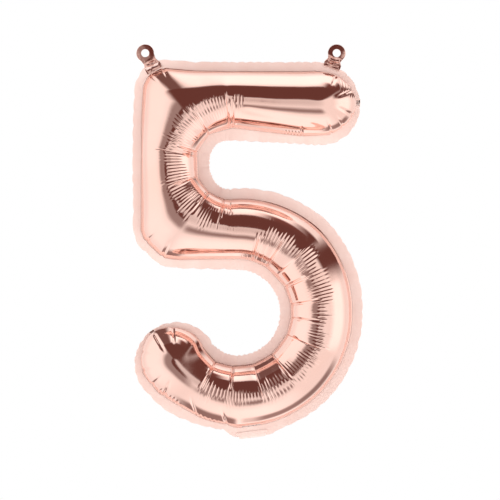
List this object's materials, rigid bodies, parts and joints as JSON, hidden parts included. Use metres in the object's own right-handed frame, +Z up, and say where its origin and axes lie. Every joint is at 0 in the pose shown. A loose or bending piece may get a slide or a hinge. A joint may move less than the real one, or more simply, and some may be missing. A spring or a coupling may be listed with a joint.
{
  "type": "foil number balloon",
  "caption": "Inflated foil balloon in the shape of the numeral 5, with a flat sealed margin, punched hanging tabs and a folded-back fill tail with a film valve.",
  "frame": {"origin": "midway between the centres of the two hanging holes, on the plane of the seam", "axes": "+X along the hanging line to the reader's right, +Z up, and the front faces -Y"},
  "size_m": [0.2175, 0.0614, 0.3752],
  "materials": {
    "front_foil": "mirror-bright rose-gold metallised film",
    "back_foil": "mirror-bright rose-gold metallised film",
    "seal": "pale fused film",
    "tab_foil": "mirror-bright rose-gold metallised film, two plies fused",
    "tail_foil": "mirror-bright rose-gold metallised film",
    "valve_film": "clear thin film"
  },
  "bodies": {
    "balloon": {"front_panel": "front_foil", "back_panel": "back_foil", "heat_seal": "seal", "valve_front_film": "valve_film", "valve_back_film": "valve_film"},
    "left_tab": {"left_hanging_tab": "tab_foil"},
    "right_tab": {"right_hanging_tab": "tab_foil"},
    "fill_tail": {"tail_front_ply": "tail_foil", "tail_back_ply": "tail_foil", "tail_side_seals": "seal", "tail_front_film": "valve_film", "tail_back_film": "valve_film"}
  },
  "joints": [
    {"name": "left_tab_crease", "type": "hinge", "parent": "balloon", "child": "left_tab", "pos_m": [-0.0839, 0, -0.01266], "axis": [0.8724, 0, 0.4888], "range_deg": [-110, 110], "stiffness_Nm_per_rad": 0.0002},
    {"name": "right_tab_crease", "type": "hinge", "parent": "balloon", "child": "right_tab", "pos_m": [0.08737, 0, -0.00999], "axis": [0.9398, 0, -0.3417], "range_deg": [-110, 110], "stiffness_Nm_per_rad": 0.0002},
    {"name": "tail_crease", "type": "hinge", "parent": "balloon", "child": "fill_tail", "pos_m": [0.01103, 0, -0.36481], "axis": [-0.9925, 0, -0.1219], "range_deg": [0, 240]}
  ]
}
